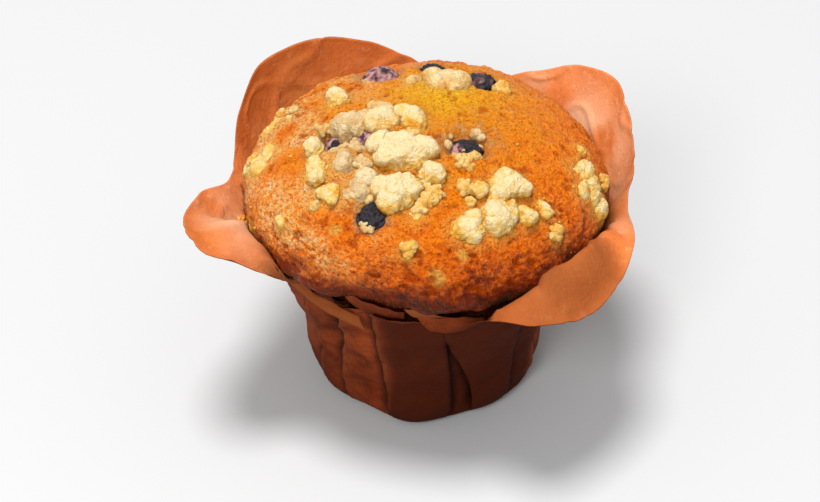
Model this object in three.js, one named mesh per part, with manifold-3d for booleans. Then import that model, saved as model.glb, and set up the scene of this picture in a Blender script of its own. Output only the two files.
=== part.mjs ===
// A blueberry crumble muffin in a pleated paper tulip case.
//
// Millimetres, +Z up. The case stands on z = 0 and its cup is centred on the Z axis, with the
// muffin's front at -Y and its right side at +X. Azimuths are in degrees from +X towards +Y.
// A tilt is a place on the crust: 0 at the top of the dome, 90 on the cake's widest ring.

import * as THREE from 'three';
import { mergeVertices } from 'three/addons/utils/BufferGeometryUtils.js';
import Module from 'manifold-3d';

const wasm = await Module();
wasm.setup();

// Paper case. Radii are to the outside of the paper.
const paperThickness = 0.4;
const cupBaseRadius = 26;
const cupCornerRadius = 4;
const cupRimRadius = 34.3;
const cupRimHeight = 38;
const pleatCount = 18;
const pleatDepth = 0.7;

// Where a petal heads as it leaves the rim, for each unit of its reach: how many dome overhangs
// out and how many shoulder rises up. A petal's reach counts its rise more than its spread.
const petalHeading = { out: 0.43301270189, up: 0.17142857143 };
const petalRiseWeight = 35 / 24;

// Cake. The dome hangs over the cup's rim and its widest ring lies above it.
const clearance = 0.3;
const neckRise = 3;
const domeOverhang = 7.2;
const shoulderRise = 10.5;
const domeRise = 20.8;
const domeFullness = 2.2; // 2 is a plain half ellipse, more is squarer
const crustWaves = 0.5;

const berrySquash = 0.9; // a berry's height over its width

// How finely the turned shapes are faceted.
const cakeColumns = 40;
const domeRows = 11;
const columnsPerPleat = 4;
const cupSteps = 6; // from the middle of the bottom to just below the rim
const petalSteps = 6; // from the rim to the free edge

const shoulderRadius = cupRimRadius + domeOverhang;
const shoulderHeight = cupRimHeight + shoulderRise;

// The paper's free edge, once round. The dome holds the paper open, so the edge is given by how
// many dome overhangs it lies outside the cup's rim, and how many shoulder rises above it.
// Four petals stand up between notches at 84, 172 and 351 degrees and the low pleated front.
const edgeStations = [
  { azimuth: 8, out: 1.94, up: 1.62 },
  { azimuth: 18, out: 2.15, up: 2.05 },
  { azimuth: 31, out: 2.47, up: 2.26 },
  { azimuth: 44, out: 2.39, up: 2.08 },
  { azimuth: 58, out: 2.18, up: 1.54 },
  { azimuth: 72, out: 1.76, up: 1.12 },
  { azimuth: 84, out: 1.74, up: 0.95 },
  { azimuth: 95, out: 1.74, up: 1.67 },
  { azimuth: 108, out: 1.67, up: 2.24 },
  { azimuth: 122, out: 1.64, up: 2.59 },
  { azimuth: 134, out: 1.69, up: 2.65 },
  { azimuth: 146, out: 1.81, up: 2.57 },
  { azimuth: 158, out: 1.71, up: 1.93 },
  { azimuth: 172, out: 1.6, up: 0.86 },
  { azimuth: 187, out: 2.43, up: 1.24 },
  { azimuth: 197, out: 2.99, up: 1.33 },
  { azimuth: 205, out: 3.19, up: 1.43 },
  { azimuth: 211, out: 2.99, up: 1.24 },
  { azimuth: 215, out: 1.94, up: 0.86 },
  { azimuth: 220, out: 0.49, up: 0.24 },
  { azimuth: 228, out: 0.19, up: 0.14 },
  { azimuth: 250, out: 0.17, up: 0.14 },
  { azimuth: 275, out: 0.19, up: 0.14 },
  { azimuth: 286, out: 0.42, up: 0.19 },
  { azimuth: 291, out: 1.81, up: 0.67 },
  { azimuth: 296, out: 2.43, up: 0.76 },
  { azimuth: 312, out: 2.46, up: 0.41 },
  { azimuth: 326, out: 2.36, up: 0.57 },
  { azimuth: 339, out: 2.14, up: 0.9 },
  { azimuth: 351, out: 1.69, up: 1.14 },
];

// Blueberries: where each sits, how deep its centre lies under the crust, and the radius of the
// dish that the crumb makes round it.
const berries = [
  { azimuth: 249, tilt: 49, radius: 3.5, depth: 1.2, dish: 3.6 },
  { azimuth: 315, tilt: 17, radius: 4.4, depth: 3.8, dish: 5.6 },
  { azimuth: 201, tilt: 29, radius: 3.2, depth: 3.4, dish: 4.6 },
  { azimuth: 214, tilt: 19, radius: 3.6, depth: 2.8, dish: 4.6 },
  { azimuth: 116, tilt: 34, radius: 4.4, depth: 2, dish: 3.4 },
  { azimuth: 53, tilt: 28, radius: 3.5, depth: 1.6, dish: 3.6 },
  { azimuth: 86, tilt: 32, radius: 3.2, depth: 1.4, dish: 3.2 },
  { azimuth: 75, tilt: 74, radius: 3.6, depth: 2, dish: 3.8 },
  { azimuth: 132, tilt: 74, radius: 3.4, depth: 2.2, dish: 3.8 },
];

// Crumble nuggets: where each sits, its length, width and height, how far its length is turned
// from downhill, and how many knobs it has. The last ones lie on the back of the dome.
const nuggets = [
  { azimuth: 250, tilt: 20, size: [16, 11, 7], turn: 90, knobs: 3 },
  { azimuth: 256, tilt: 37, size: [11, 9.5, 6], turn: 90, knobs: 3 },
  { azimuth: 274, tilt: 28, size: [7, 6.5, 5], turn: 0, knobs: 2 },
  { azimuth: 270, tilt: 32, size: [6, 4, 3], turn: 60, knobs: 1 },
  { azimuth: 194, tilt: 21, size: [9, 6.5, 4], turn: 0, knobs: 2 },
  { azimuth: 202, tilt: 12, size: [8, 6.5, 4.5], turn: 30, knobs: 2 },
  { azimuth: 229, tilt: 5, size: [8, 7, 4.5], turn: 60, knobs: 2 },
  { azimuth: 206, tilt: 37, size: [5.6, 5.6, 5], turn: 30, knobs: 1 },
  { azimuth: 217, tilt: 42, size: [7.5, 6, 4], turn: 40, knobs: 2 },
  { azimuth: 229, tilt: 47, size: [6, 5.5, 4], turn: 60, knobs: 2 },
  { azimuth: 236, tilt: 44, size: [4.5, 3.5, 2.5], turn: 20, knobs: 0 },
  { azimuth: 224, tilt: 33, size: [6, 4.5, 3], turn: 20, knobs: 1 },
  { azimuth: 240, tilt: 36, size: [8.5, 5, 4], turn: 0, knobs: 2 },
  { azimuth: 206, tilt: 25, size: [4, 4, 4.4], turn: 0, knobs: 0 },
  { azimuth: 186, tilt: 66, size: [10.5, 8.5, 3], turn: 0, knobs: 3 },
  { azimuth: 158, tilt: 29, size: [6.5, 6, 4.6], turn: 0, knobs: 1 },
  { azimuth: 218, tilt: 69, size: [3.4, 3, 2], turn: 70, knobs: 0 },
  { azimuth: 203, tilt: 86, size: [5, 3, 2.2], turn: 0, knobs: 0 },
  { azimuth: 265, tilt: 63, size: [3.8, 3.4, 2.2], turn: 80, knobs: 1 },
  { azimuth: 71, tilt: 18, size: [9, 6.5, 4], turn: 90, knobs: 3 },
  { azimuth: 100, tilt: 20, size: [5.5, 5, 3], turn: 60, knobs: 1 },
  { azimuth: 36, tilt: 30, size: [4, 3, 2.5], turn: 60, knobs: 0 },
  { azimuth: 309, tilt: 41, size: [11.5, 8, 4.8], turn: 80, knobs: 3 },
  { azimuth: 296, tilt: 38, size: [5, 4.5, 3], turn: 60, knobs: 1 },
  { azimuth: 286, tilt: 53, size: [8.5, 6.5, 4.2], turn: 80, knobs: 2 },
  { azimuth: 298, tilt: 51, size: [9, 8, 4.8], turn: 10, knobs: 2 },
  { azimuth: 309, tilt: 56, size: [6, 4.4, 3.6], turn: 10, knobs: 1 },
  { azimuth: 317, tilt: 57, size: [5.5, 4, 3.2], turn: 10, knobs: 1 },
  { azimuth: 343, tilt: 67, size: [14, 9.5, 3.4], turn: 0, knobs: 3 },
  { azimuth: 355, tilt: 55, size: [4.5, 3.5, 2], turn: 30, knobs: 0 },
  { azimuth: 316, tilt: 72, size: [4.5, 3.2, 2.2], turn: 10, knobs: 0 },
  { azimuth: 265, tilt: 46, size: [4.5, 3, 2], turn: 70, knobs: 0 },
  { azimuth: 270, tilt: 40, size: [3.6, 3, 1.8], turn: 30, knobs: 0 },
  { azimuth: 166, tilt: 48, size: [3.2, 2.8, 2], turn: 0, knobs: 0 },
  { azimuth: 165, tilt: 62, size: [6, 5, 2.6], turn: 30, knobs: 1 },
  { azimuth: 60, tilt: 78, size: [7, 5, 2.8], turn: 60, knobs: 2 },
  { azimuth: 90, tilt: 76, size: [8, 6, 3], turn: 80, knobs: 2 },
  { azimuth: 104, tilt: 75, size: [6.5, 5.5, 3], turn: 20, knobs: 1 },
  { azimuth: 118, tilt: 78, size: [5.5, 4.5, 2.6], turn: 90, knobs: 1 },
  { azimuth: 146, tilt: 80, size: [5.5, 4.5, 2.4], turn: 30, knobs: 1 },
  { azimuth: 44, tilt: 82, size: [4.6, 3.6, 2.4], turn: 60, knobs: 0 },
];

const radians = THREE.MathUtils.degToRad;

function smoothMaterial(color, roughness) {
  return new THREE.MeshStandardMaterial({ color, roughness, metalness: 0 });
}

const paperMaterial = smoothMaterial(0x8a4a24, 0.8);
const crustMaterial = smoothMaterial(0xd9882f, 0.7);
const berryMaterial = smoothMaterial(0x2b2036, 0.45);
const crumbleMaterial = smoothMaterial(0xf0d79a, 0.85);

// Closed geometry to solid, and back again.
function toSolid(geometry) {
  const bare = geometry.clone();
  bare.deleteAttribute('normal');
  bare.deleteAttribute('uv');
  const merged = mergeVertices(bare, 1e-4);
  const triangles = [];
  for (let i = 0; i < merged.index.count; i += 3) {
    const [a, b, c] = [0, 1, 2].map((corner) => merged.index.getX(i + corner));
    if (a !== b && b !== c && c !== a) triangles.push(a, b, c); // skips those flat on the axis
  }
  return new wasm.Manifold(new wasm.Mesh({
    numProp: 3,
    vertProperties: new Float32Array(merged.getAttribute('position').array),
    triVerts: new Uint32Array(triangles),
  }));
}

function toGeometry(solid) {
  const mesh = solid.getMesh();
  const geometry = new THREE.BufferGeometry();
  geometry.setAttribute('position', new THREE.BufferAttribute(mesh.vertProperties, 3));
  geometry.setIndex(new THREE.BufferAttribute(mesh.triVerts, 1));
  geometry.computeVertexNormals();
  return geometry;
}

// A lathe round the Z axis whose points are then moved by place(azimuth, step), so that a turned
// shape can swell, pleat or flare on one side. It starts and ends on the axis.
function revolve(stepCount, columns, place) {
  const profile = Array.from({ length: stepCount }, (_, step) => {
    const { radius, height } = place(0, step);
    return new THREE.Vector2(radius, height);
  });
  const geometry = new THREE.LatheGeometry(profile, columns).rotateX(Math.PI / 2);
  const position = geometry.getAttribute('position');
  for (let column = 0; column <= columns; column++) {
    const azimuth = ((column % columns) * 360) / columns - 90;
    for (let step = 0; step < stepCount; step++) {
      const { radius, height } = place(azimuth, step);
      position.setXYZ(
        column * stepCount + step,
        radius * Math.cos(radians(azimuth)),
        radius * Math.sin(radians(azimuth)),
        height,
      );
    }
  }
  return geometry;
}

// The crust's low swells, nothing at the top of the dome and on its widest ring.
function unevenness(azimuth, tilt) {
  const twoWay = Math.sin(radians(2 * azimuth + 40));
  const threeWay = 0.7 * Math.sin(radians(3 * azimuth + 200));
  const fiveWay = 0.6 * Math.sin(radians(5 * azimuth + 90));
  return crustWaves * Math.sin(radians(2 * tilt)) * (twoWay + threeWay + fiveWay);
}

// One place on the crust, as radius and height, lifted off it along its normal.
function crustProfile(azimuth, tilt, lift = 0) {
  const across = Math.sin(radians(tilt)) ** (2 / domeFullness);
  const upward = Math.max(Math.cos(radians(tilt)), 0) ** (2 / domeFullness);
  const normal = new THREE.Vector2(
    across ** (domeFullness - 1) / shoulderRadius,
    upward ** (domeFullness - 1) / domeRise,
  ).normalize();
  const rise = unevenness(azimuth, tilt) + lift;
  return {
    radius: shoulderRadius * across + normal.x * rise,
    height: shoulderHeight + domeRise * upward + normal.y * rise,
    normal,
  };
}

// A frame on the crust: x downhill turned by a given angle, z straight out.
function crustFrame(azimuth, tilt, turn = 0) {
  const { radius, height, normal } = crustProfile(azimuth, tilt);
  const outward = new THREE.Vector3(Math.cos(radians(azimuth)), Math.sin(radians(azimuth)), 0);
  const up = new THREE.Vector3(0, 0, 1);
  const z = outward.clone().multiplyScalar(normal.x).addScaledVector(up, normal.y);
  const x = outward.clone().multiplyScalar(normal.y).addScaledVector(up, -normal.x);
  x.applyAxisAngle(z, radians(turn));
  const y = new THREE.Vector3().crossVectors(z, x);
  const origin = outward.clone().multiplyScalar(radius).setZ(height);
  return new THREE.Matrix4().makeBasis(x, y, z).setPosition(origin);
}

// The cake in the cup, its neck above the rim, the roll under the dome, and the dome.
function cakeProfile(azimuth, step, lift = 0) {
  const gap = paperThickness + clearance;
  const wallLean = Math.atan2(cupRimRadius - cupBaseRadius, cupRimHeight - cupCornerRadius);
  const neckRadius = cupRimRadius - gap / Math.cos(wallLean);
  const neckHeight = cupRimHeight + neckRise;
  const centre = cupBaseRadius - cupCornerRadius;
  const corner = cupCornerRadius - gap;
  const foot = [
    { radius: 0, height: gap },
    { radius: centre, height: gap },
    { radius: centre + corner * Math.SQRT1_2, height: cupCornerRadius - corner * Math.SQRT1_2 },
    { radius: centre + corner, height: cupCornerRadius },
    { radius: neckRadius, height: cupRimHeight },
    { radius: neckRadius, height: neckHeight },
  ];
  if (step < foot.length) return foot[step];
  const roll = [72, 48, 24];
  if (step < foot.length + roll.length) {
    const angle = radians(roll[step - foot.length]);
    return {
      radius: neckRadius + (shoulderRadius - neckRadius) * Math.cos(angle) + lift,
      height: shoulderHeight - (shoulderHeight - neckHeight) * Math.sin(angle),
    };
  }
  const row = step - foot.length - roll.length;
  return crustProfile(azimuth, 90 * (1 - row / domeRows), lift);
}

const cakeSteps = 6 + 3 + domeRows + 1;

function cakeSolid(lift = 0) {
  const place = (azimuth, step) => cakeProfile(azimuth, step, lift);
  return toSolid(revolve(cakeSteps, cakeColumns, place));
}

function berryGeometry({ radius }, grow = 0) {
  const around = radius + grow;
  return new THREE.IcosahedronGeometry(1, 1).scale(around, around, radius * berrySquash + grow);
}

function berryFrame({ azimuth, tilt, depth }) {
  return crustFrame(azimuth, tilt).multiply(new THREE.Matrix4().makeTranslation(0, 0, -depth));
}

function berrySolid(berry, grow) {
  return toSolid(berryGeometry(berry, grow).applyMatrix4(berryFrame(berry)));
}

// The shallow dish that opens the crust round a berry.
function dishSolid({ azimuth, tilt, dish }) {
  const frame = crustFrame(azimuth, tilt);
  frame.multiply(new THREE.Matrix4().makeTranslation(0, 0, 0.45 * dish));
  return toSolid(new THREE.IcosahedronGeometry(dish, 2).applyMatrix4(frame));
}

// A nugget is a squashed core with knobs set round it by the golden angle.
function nuggetSolid({ azimuth, tilt, size, turn, knobs }, grow = 0) {
  const [length, width, height] = size;
  const frame = crustFrame(azimuth, tilt, turn);
  const core = new THREE.IcosahedronGeometry(1, 1);
  core.scale(0.4 * length + grow, 0.4 * width + grow, 0.9 * height + grow);
  let solid = toSolid(core.applyMatrix4(frame));
  for (let knob = 0; knob < knobs; knob++) {
    const angle = radians(azimuth + knob * 137.5);
    const radius = (0.22 + 0.05 * ((knob * 0.62) % 1)) * Math.min(length, width, 2 * height) + 0.3;
    const geometry = new THREE.SphereGeometry(radius + grow, 7, 5);
    geometry.translate(
      (0.5 * length - radius) * Math.cos(angle),
      (0.5 * width - radius) * Math.sin(angle),
      0.35 * height,
    );
    solid = solid.add(toSolid(geometry.applyMatrix4(frame)));
  }
  return solid;
}

// A value that changes smoothly from one edge station to the next, round and round.
function atEdge(key, azimuth) {
  const count = edgeStations.length;
  const turned = THREE.MathUtils.euclideanModulo(azimuth - edgeStations[0].azimuth, 360);
  const start = edgeStations[0].azimuth + turned;
  let index = 0;
  while (index < count - 1 && edgeStations[index + 1].azimuth <= start) index++;
  const from = edgeStations[index];
  const to = edgeStations[(index + 1) % count];
  const span = THREE.MathUtils.euclideanModulo(to.azimuth - from.azimuth, 360);
  const share = (start - from.azimuth) / span;
  const before = edgeStations[(index + count - 1) % count];
  const after = edgeStations[(index + 2) % count];
  const curve = new THREE.CatmullRomCurve3(
    [before, from, to, after].map((station) => new THREE.Vector3(station[key], 0, 0)),
    false,
    'catmullrom',
    0.35,
  );
  return curve.getPoint((1 + share) / 3).x;
}

// How far a pleat stands out: a ramp that ends in a step, flat on the bottom and on the petals.
function pleat(azimuth, strength) {
  const phase = THREE.MathUtils.euclideanModulo((azimuth * pleatCount) / 360, 1);
  const ramp = Math.min(phase / (1 - 1 / columnsPerPleat), 1);
  return pleatDepth * strength * ramp;
}

// The outside of the paper from the middle of the bottom to the free edge, with the direction
// that it runs in and how much its pleats stand out.
function paperOutside(azimuth, step) {
  const centre = cupBaseRadius - cupCornerRadius;
  const half = Math.SQRT1_2;
  const wall = new THREE.Vector2(cupRimRadius - cupBaseRadius, cupRimHeight - cupCornerRadius);
  const wallAt = (share) => ({
    radius: cupBaseRadius + wall.x * share,
    height: cupCornerRadius + wall.y * share,
    run: wall.clone().normalize(),
    pleats: Math.min(3 * share, 1),
  });
  const flat = new THREE.Vector2(1, 0);
  if (step === 0) return { radius: 0, height: 0, run: flat, pleats: 0 };
  if (step === 1) return { radius: centre, height: 0, run: flat, pleats: 0 };
  if (step === 2) {
    return {
      radius: centre + cupCornerRadius * half,
      height: cupCornerRadius * (1 - half),
      run: new THREE.Vector2(half, half),
      pleats: 0,
    };
  }
  if (step < cupSteps) return wallAt((step - 3) / (cupSteps - 3));
  const rim = new THREE.Vector2(cupRimRadius, cupRimHeight);
  const dome = new THREE.Vector2(domeOverhang, shoulderRise); // what the petals lie round
  const spread = atEdge('out', azimuth);
  const rise = atEdge('up', azimuth);
  const reach = Math.hypot(spread, petalRiseWeight * rise);
  const heading = new THREE.Vector2(petalHeading.out, petalHeading.up).multiplyScalar(reach);
  const bend = heading.multiply(dome).add(rim);
  const edge = new THREE.Vector2(spread, rise).multiply(dome).add(rim);
  const curve = new THREE.QuadraticBezierCurve(rim, bend, edge);
  const share = (step - cupSteps) / petalSteps;
  const point = curve.getPoint(share);
  return {
    radius: point.x,
    height: point.y,
    run: step === cupSteps ? wall.clone().normalize() : curve.getTangent(share),
    pleats: Math.max(1 - 2 * share, 0),
  };
}

// Steps up the outside, then back down the inside, one paper thickness in.
const paperSteps = 2 * (cupSteps + petalSteps + 1);

function paperProfile(azimuth, step) {
  const isInside = step >= paperSteps / 2;
  const { radius, height, run, pleats } = paperOutside(azimuth, isInside ? paperSteps - 1 - step : step);
  const inset = isInside ? paperThickness : 0;
  const onAxis = step === 0 || step === paperSteps - 1;
  return {
    radius: onAxis ? 0 : radius + pleat(azimuth, pleats) - inset * run.y,
    height: height + inset * run.x,
  };
}

function named(name, geometry, material) {
  const mesh = new THREE.Mesh(geometry, material);
  mesh.name = name;
  return mesh;
}

function paperCase() {
  const geometry = revolve(paperSteps, pleatCount * columnsPerPleat, paperProfile);
  geometry.computeVertexNormals();
  return named('paper_case', geometry, paperMaterial);
}

function cake() {
  let solid = cakeSolid();
  for (const berry of berries) {
    solid = solid.subtract(berrySolid(berry, clearance).add(dishSolid(berry)));
  }
  return named('muffin_cake', toGeometry(solid), crustMaterial);
}

function blueberries() {
  const group = new THREE.Group();
  berries.forEach((berry, index) => {
    const mesh = named(`blueberry_${index + 1}`, berryGeometry(berry), berryMaterial);
    berryFrame(berry).decompose(mesh.position, mesh.quaternion, mesh.scale);
    group.add(mesh);
  });
  return group;
}

// Each nugget stops short of the crust, the berries and the nuggets placed before it.
function crumble() {
  const group = new THREE.Group();
  let taken = cakeSolid(clearance);
  for (const berry of berries) taken = taken.add(berrySolid(berry, clearance));
  nuggets.forEach((nugget, index) => {
    const solid = nuggetSolid(nugget).subtract(taken);
    taken = taken.add(nuggetSolid(nugget, clearance));
    const name = `crumble_${String(index + 1).padStart(2, '0')}`;
    group.add(named(name, toGeometry(solid), crumbleMaterial));
  });
  return group;
}

const muffin = new THREE.Group();
muffin.name = 'muffin';
muffin.add(paperCase(), cake(), blueberries(), crumble());

export default muffin;
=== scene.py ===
# A blueberry crumble muffin in a pleated paper tulip case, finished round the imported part.
# Shapes are worked out in millimetres and scaled to metres when a mesh is made.
import math
import random

import bmesh
import bpy
from mathutils import Matrix, Vector, noise
from mathutils.kdtree import KDTree


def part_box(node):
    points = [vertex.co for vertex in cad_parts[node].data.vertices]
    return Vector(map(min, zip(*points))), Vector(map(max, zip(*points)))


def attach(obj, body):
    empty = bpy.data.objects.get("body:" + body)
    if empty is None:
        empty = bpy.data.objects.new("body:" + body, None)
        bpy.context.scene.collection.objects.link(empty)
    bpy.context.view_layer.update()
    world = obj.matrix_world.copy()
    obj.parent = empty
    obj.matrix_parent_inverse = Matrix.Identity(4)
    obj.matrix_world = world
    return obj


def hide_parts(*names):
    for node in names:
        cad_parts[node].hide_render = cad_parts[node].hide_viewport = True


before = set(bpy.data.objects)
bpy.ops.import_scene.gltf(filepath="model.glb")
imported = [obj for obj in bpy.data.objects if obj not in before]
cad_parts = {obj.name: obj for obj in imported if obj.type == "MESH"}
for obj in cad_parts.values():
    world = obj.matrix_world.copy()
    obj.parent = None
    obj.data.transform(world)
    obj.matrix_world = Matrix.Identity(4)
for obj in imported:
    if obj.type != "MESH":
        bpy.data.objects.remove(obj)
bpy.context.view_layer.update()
mm = 0.001
random.seed(7)
print("frame loaded:", len(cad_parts), "nodes")


# shader helpers


class Value:  # a number that varies over the surface; Python arithmetic on it adds Math nodes
    def __init__(self, shader, socket):
        self.shader = shader
        self.socket = socket

    def math(self, operation, *others):
        return self.shader.add("ShaderNodeMath", {"operation": operation}, [self, *others])

    def __add__(self, other):
        return self.math("ADD", other)

    def __sub__(self, other):
        return self.math("SUBTRACT", other)

    def __mul__(self, other):
        return self.math("MULTIPLY", other)

    def __truediv__(self, other):
        return self.math("DIVIDE", other)

    def reflected(self, operation, other):
        return self.shader.add("ShaderNodeMath", {"operation": operation}, [other, self])

    def __radd__(self, other):
        return self.reflected("ADD", other)

    def __rsub__(self, other):
        return self.reflected("SUBTRACT", other)

    def __rmul__(self, other):
        return self.reflected("MULTIPLY", other)

    def __rtruediv__(self, other):
        return self.reflected("DIVIDE", other)

    def clamped(self):
        return self.math("MAXIMUM", 0.0).math("MINIMUM", 1.0)

    def between(self, low, high):  # 0 below low, 1 above high, smooth in between
        settings = {"interpolation_type": "SMOOTHSTEP"}
        sockets = {"Value": self, "From Min": low, "From Max": high}
        return self.shader.add("ShaderNodeMapRange", settings, sockets)


class Shader:
    def __init__(self, name, colour):
        self.material = bpy.data.materials.new(name)
        self.material.use_nodes = True
        self.material.diffuse_color = (*colour, 1)
        self.tree = self.material.node_tree
        self.surface = self.tree.nodes["Principled BSDF"]
        self.place = self.add("ShaderNodeTexCoord", {}, {}, "Object")

    def add(self, kind, settings, sockets, output=0):  # any node: its type, settings, then sockets
        node = self.tree.nodes.new(kind)
        for name, setting in settings.items():
            if name == "stops":
                self.setStops(node.color_ramp, setting)
            else:
                setattr(node, name, setting)
        pairs = enumerate(sockets) if isinstance(sockets, list) else sockets.items()
        for key, value in pairs:
            self.feed(node.inputs[key], value)
        return Value(self, node.outputs[output])

    def setStops(self, ramp, stops):
        while len(ramp.elements) < len(stops):
            ramp.elements.new(0.5)
        for element, (position, colour) in zip(ramp.elements, stops):
            element.position = position
            element.color = (*colour, 1)

    def feed(self, socket, value):
        if isinstance(value, Value):
            self.tree.links.new(value.socket, socket)
        elif isinstance(value, tuple) and len(value) == 3 and socket.type == "RGBA":
            socket.default_value = (*value, 1)
        else:
            socket.default_value = value

    def noise(self, size, detail=2.0, roughness=0.5, distortion=0.0):  # size in millimetres
        sockets = {
            "Vector": self.place,
            "Scale": 1 / (size * mm),
            "Detail": detail,
            "Roughness": roughness,
            "Distortion": distortion,
        }
        return self.add("ShaderNodeTexNoise", {}, sockets, "Fac")

    def ramp(self, value, stops):
        return self.add("ShaderNodeValToRGB", {"stops": stops}, {"Fac": value}, "Color")

    def mix(self, factor, first, second):  # sockets 6 and 7 are the two colours, output 2 is the mix
        return self.add("ShaderNodeMix", {"data_type": "RGBA"}, {0: factor, 6: first, 7: second}, 2)

    def painted(self, name):  # a value painted on the mesh's points
        return self.add("ShaderNodeAttribute", {"attribute_name": name}, {}, "Fac")

    def bump(self, height, distance, strength=1.0):  # distance in millimetres
        sockets = {"Height": height, "Distance": distance * mm, "Strength": strength}
        return self.add("ShaderNodeBump", {}, sockets, "Normal")

    def finish(self, sockets):
        for name, value in sockets.items():
            self.feed(self.surface.inputs[name], value)
        return self.material


# mesh helpers


def smoothStep(low, high, value):
    share = min(max((value - low) / (high - low), 0.0), 1.0)
    return share * share * (3 - 2 * share)


def knobs(point, size, seed=0.0):  # round knobs with creases between them, 0.5 to about -0.5
    return 0.5 - noise.voronoi(Vector(point) / size + Vector((seed, -seed, seed)))[0][0]


def rough(point, size, seed=0.0):  # noise from about -1 to 1, with bumps of that many millimetres
    return noise.noise(Vector(point) / size + Vector((seed, seed * 0.7, -seed)))


def meshPiece(name, bm, materials):
    mesh = bpy.data.meshes.new(name)
    bm.to_mesh(mesh)
    bm.free()
    for material in materials:
        mesh.materials.append(material)
    mesh.shade_smooth()
    piece = bpy.data.objects.new(name, mesh)
    bpy.context.scene.collection.objects.link(piece)
    return piece


def paintPoints(piece, name, values):
    layer = piece.data.attributes.new(name, "FLOAT", "POINT")
    layer.data.foreach_set("value", values)


def smoothPoints(bm, passes):
    for _ in range(passes):
        bmesh.ops.smooth_vert(
            bm, verts=bm.verts, factor=0.5, use_axis_x=True, use_axis_y=True, use_axis_z=True
        )
    bm.normal_update()


def pointTree(pieces):
    places = [vert.co / mm for piece in pieces for vert in piece.data.vertices]
    tree = KDTree(len(places))
    for index, place in enumerate(places):
        tree.insert(place, index)
    tree.balance()
    return tree


def applyModifiers(piece):
    graph = bpy.context.evaluated_depsgraph_get()
    mesh = bpy.data.meshes.new_from_object(piece.evaluated_get(graph))
    mesh.name = piece.name
    old = piece.data
    piece.modifiers.clear()
    piece.data = mesh
    bpy.data.meshes.remove(old)


def install(piece, slotName, *nodeNames):
    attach(piece, "root")
    if nodeNames:
        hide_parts(*nodeNames)


def nodeCentre(name):
    low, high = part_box(name)
    return (Vector(low) + Vector(high)) / 2 / mm


def nodeSize(name):
    low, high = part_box(name)
    return (Vector(high) - Vector(low)) / mm


# The cake's form, as the part has it. A tilt runs from 0 at the top to 90 degrees on the widest ring.
cakeLow, cakeHigh = (Vector(corner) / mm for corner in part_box("muffin_cake"))
cake = {
    "ringRadius": (cakeHigh.x - cakeLow.x) / 2,
    "ringHeight": 48.5,
    "fullness": 2.2,
    "neckRadius": 33.6,
    "neckHeight": 41.0,
    "footRadius": 25.2,
    "footCorner": 3.3,
    "swell": 0.5,
    "cuts": 118,
    "domeShare": 0.64,  # where the dome and the roll end, as shares of the way from top to foot
    "rollShare": 0.74,
    "wallShare": 0.6,  # of the rest of the way that is spent on the wall
    "cornerShare": 0.3,  # of the foot that is spent on its round corner
    "clearance": 1.3,  # kept inside the case's inner layers
}
cake["domeRise"] = cakeHigh.z - cake["ringHeight"]
berryNames = sorted(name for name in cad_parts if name.startswith("blueberry_"))
nuggetNames = sorted(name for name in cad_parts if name.startswith("crumble_"))


def swellAt(azimuth, tilt):  # low waves round the dome
    waves = math.sin(2 * azimuth + math.radians(40)) + 0.7 * math.sin(3 * azimuth + math.radians(200))
    waves += 0.6 * math.sin(5 * azimuth + math.radians(90))
    return cake["swell"] * math.sin(2 * tilt) * waves


def crustPoint(azimuth, tilt):  # place and outward direction
    across = max(math.sin(tilt), 0) ** (2 / cake["fullness"])
    upward = max(math.cos(tilt), 0) ** (2 / cake["fullness"])
    side = across ** (cake["fullness"] - 1) / cake["ringRadius"]
    top = upward ** (cake["fullness"] - 1) / cake["domeRise"]
    length = math.hypot(side, top)
    side, top = side / length, top / length
    rise = swellAt(azimuth, tilt)
    radius = cake["ringRadius"] * across + side * rise
    height = cake["ringHeight"] + cake["domeRise"] * upward + top * rise
    turn = Vector((math.cos(azimuth), math.sin(azimuth), 0))
    return turn * radius + Vector((0, 0, height)), turn * side + Vector((0, 0, top))


def crustNear(point):  # the crust's nearest place straight above, below or beside a point
    azimuth = math.atan2(point.y, point.x)
    found = [crustPoint(azimuth, math.radians(step / 2)) for step in range(181)]
    return min(found, key=lambda ground: (ground[0] - point).length)


def cakePoint(azimuth, share):  # share runs from 0 at the top of the dome to 1 in the middle of the foot
    turn = Vector((math.cos(azimuth), math.sin(azimuth), 0))
    if share <= cake["domeShare"]:
        return crustPoint(azimuth, math.pi / 2 * share / cake["domeShare"])
    if share <= cake["rollShare"]:
        angle = math.pi / 2 * (share - cake["domeShare"]) / (cake["rollShare"] - cake["domeShare"])
        over = cake["ringRadius"] - cake["neckRadius"]
        under = cake["ringHeight"] - cake["neckHeight"]
        radius = cake["neckRadius"] + over * math.cos(angle)
        height = cake["ringHeight"] - under * math.sin(angle)
        outward = turn * math.cos(angle) / over + Vector((0, 0, -math.sin(angle) / under))
        return turn * radius + Vector((0, 0, height)), outward.normalized()
    rest = (share - cake["rollShare"]) / (1 - cake["rollShare"])
    wallShare = min(rest / cake["wallShare"], 1)
    footShare = max((rest - cake["wallShare"]) / (1 - cake["wallShare"]), 0)
    radius = cake["neckRadius"] + (cake["footRadius"] - cake["neckRadius"]) * wallShare
    height = cake["neckHeight"] + (cakeLow.z + cake["footCorner"] - cake["neckHeight"]) * wallShare
    if footShare > 0:
        corner = min(footShare / cake["cornerShare"], 1) * math.pi / 2
        radius += cake["footCorner"] * (math.cos(corner) - 1)
        height -= cake["footCorner"] * math.sin(corner)
        radius *= 1 - max((footShare - cake["cornerShare"]) / (1 - cake["cornerShare"]), 0)
        outward = turn * math.cos(corner) - Vector((0, 0, math.sin(corner)))
        return turn * radius + Vector((0, 0, height)), outward
    return turn * radius + Vector((0, 0, height)), turn


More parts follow.
